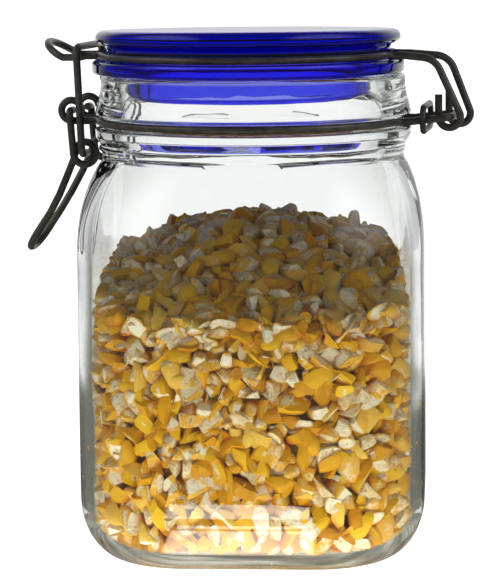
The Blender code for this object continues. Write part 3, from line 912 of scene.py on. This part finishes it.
def buildCamera():
    # the camera that was fitted to the photo
    camera = bpy.data.cameras.new("camera")
    camera.sensor_fit = "VERTICAL"
    camera.sensor_height = 36
    camera.lens = studio["lens"]
    camera.shift_x = studio["shift"]
    camera.clip_start = 0.01
    holder = bpy.data.objects.new("camera", camera)
    bpy.context.collection.objects.link(holder)
    right, up, ahead = (Vector(studio[key]) for key in ("right", "up", "ahead"))
    place = Vector(studio["camera"])
    holder.matrix_world = Matrix((
        (right.x, up.x, -ahead.x, place.x), (right.y, up.y, -ahead.y, place.y),
        (right.z, up.z, -ahead.z, place.z), (0, 0, 0, 1)))
    bpy.context.scene.camera = holder


def buildWorld():
    # straight rays see white; mirrored rays see a white backdrop behind, a dim room in front
    # and a light at each side; diffuse rays see a low broad glow from the front
    world = bpy.data.worlds.new("studio")
    bpy.context.scene.world = world
    world.use_nodes = True
    nodes = Nodes(world.node_tree)
    across, along, up = nodes.split(nodes.node("TexCoord", output="Generated"))
    aside = nodes.node("Math", {"operation": "ABSOLUTE"}, s0=across)
    behind = nodes.span(along, 0.45, 0.9)
    lamps = nodes.span(aside, 0.45, 0.7) * nodes.span(up, 0.1, 0.35) * (
        1.0 - nodes.span(along, -0.2, 0.3))
    high = 0.65 + 0.35 * nodes.span(up, 0.03, 0.25)
    mirrored = studio["dim"] + behind * high * studio["back"] + lamps * studio["lamps"]
    front = 1.0 - nodes.span(along, -0.7, 0.1)
    low = 1.0 - nodes.span(up, 0.1, 0.45)
    lit = studio["fill"] + front * low * studio["key"] + nodes.span(up, 0.6, 0.95) * studio["top"]
    rays = nodes.node("LightPath").socket.node
    diffuse = nodes.span(Signal(nodes.tree, rays.outputs["Diffuse Depth"]), 0.2, 0.8)
    glossy = nodes.span(Signal(nodes.tree, rays.outputs["Glossy Depth"]), 0.2, 0.8)
    seen = (1.0 - glossy) * studio["white"] + glossy * mirrored
    background = world.node_tree.nodes["Background"]
    background.inputs["Color"].default_value = (0.99, 0.992, 1.0, 1.0)
    plug(nodes.tree, (1.0 - diffuse) * seen + diffuse * lit, background.inputs["Strength"])


def floorLook():
    # white paper to the camera; seen through the glass it's greyer close to the jar, and
    # diffuse rays find it brightest in front
    look = Look("floorPaper", color=(0.86, 0.86, 0.86, 1.0), rough=0.9, specular=0.0)
    across, along = look.split(look.coordinates())[:2]
    reach = look.single("SQRT", across * across + along * along)
    far = look.span(reach, studio["paper"][0], studio["paper"][1])
    behind = look.span(along / reach, 0.45, 0.9)
    rays = look.node("LightPath").socket.node
    glossy = look.span(Signal(look.tree, rays.outputs["Glossy Depth"]), 0.2, 0.8)
    diffuse = look.span(Signal(look.tree, rays.outputs["Diffuse Depth"]), 0.2, 0.8)
    seen = far * (behind * glossy + (1.0 - glossy))
    # faint streaks in the paper give the thick foot of the glass something to bend
    streaks = look.noise(1.0, 2.0, 0.6, look.node("Mapping", Vector=look.coordinates(),
                                                  Scale=(25.0, 160.0, 1.0)))
    near = look.ramp(streaks, [(0.38, (0.17, 0.17, 0.145)), (0.5, (0.32, 0.315, 0.26)),
                               (0.62, (0.66, 0.65, 0.58))])
    white = studio["white"]
    shade = look.mix(seen, near, (white, white, white, 1.0))
    dull = look.mix(streaks, (0.10, 0.10, 0.085, 1.0), (0.24, 0.24, 0.21, 1.0))
    shade = look.mix(glossy * (1.0 - seen) * look.span(reach, 0.07, 0.12), shade, dull)
    shade = look.mix(diffuse, shade, (1.0, 0.99, 0.96, 1.0))
    front = (1.0 - 0.6 * look.span(along, -0.10, 0.02)) * (
        1.0 - look.span(reach, *studio["tableReach"]))
    glow = look.node("Emission", Color=shade,
                     Strength=1.0 - diffuse + diffuse * (0.10 + front * studio["table"]))
    # the bright patches, left out behind glass and for mirrors that are further off
    length = Signal(look.tree, rays.outputs["Ray Length"])
    through = Signal(look.tree, rays.outputs["Transmission Depth"])
    shine = glossy * (1.0 - look.span(through, 0.2, 0.8))
    panels = 0.0
    for x, y, width, deep, limit in studio["patches"]:
        aside, ahead = look.single("ABSOLUTE", across - x), look.single("ABSOLUTE", along - y)
        panels = (1.0 - look.span(aside, width * 0.48, width * 0.52)) * (
            1.0 - look.span(ahead, deep * 0.46, deep * 0.54)) * (
            1.0 - look.span(length, limit, limit * 1.2)) + panels
    panel = look.node("Emission", Color=(1.0, 1.0, 1.0, 1.0),
                      Strength=panels * shine * studio["patchGlow"])
    glow = look.node("AddShader", s0=glow, s1=panel)
    lift = look.node("Emission", Color=(1.0, 1.0, 1.0, 1.0), Strength=studio["lift"])
    paper = look.node("AddShader", s0=Signal(look.tree, look.shader.outputs[0]), s1=lift)
    direct = Signal(look.tree, rays.outputs["Is Camera Ray"])
    both = look.node("MixShader", s0=direct, s1=glow, s2=paper)
    look.tree.links.new(both.socket, look.out.inputs["Surface"])
    return look.material


def buildStudio():
    deselectAll()
    bpy.ops.mesh.primitive_plane_add(size=8, location=(0, 0, 0))
    floor = bpy.context.object
    floor.name = "floor"
    floor.data.materials.append(floorLook())
    buildWorld()
    scene = bpy.context.scene
    scene.view_settings.view_transform = "Standard"
    scene.view_settings.look = "None"
    scene.cycles.max_bounces = 24
    scene.cycles.transmission_bounces = 20
    scene.cycles.glossy_bounces = 8
    scene.cycles.diffuse_bounces = 3
    scene.cycles.transparent_max_bounces = 16


buildJar()
print("jar done")
buildLid()
print("lid done")
buildWires()
print("wires done")
buildCorn()
buildCamera()
buildStudio()
print("studio done")
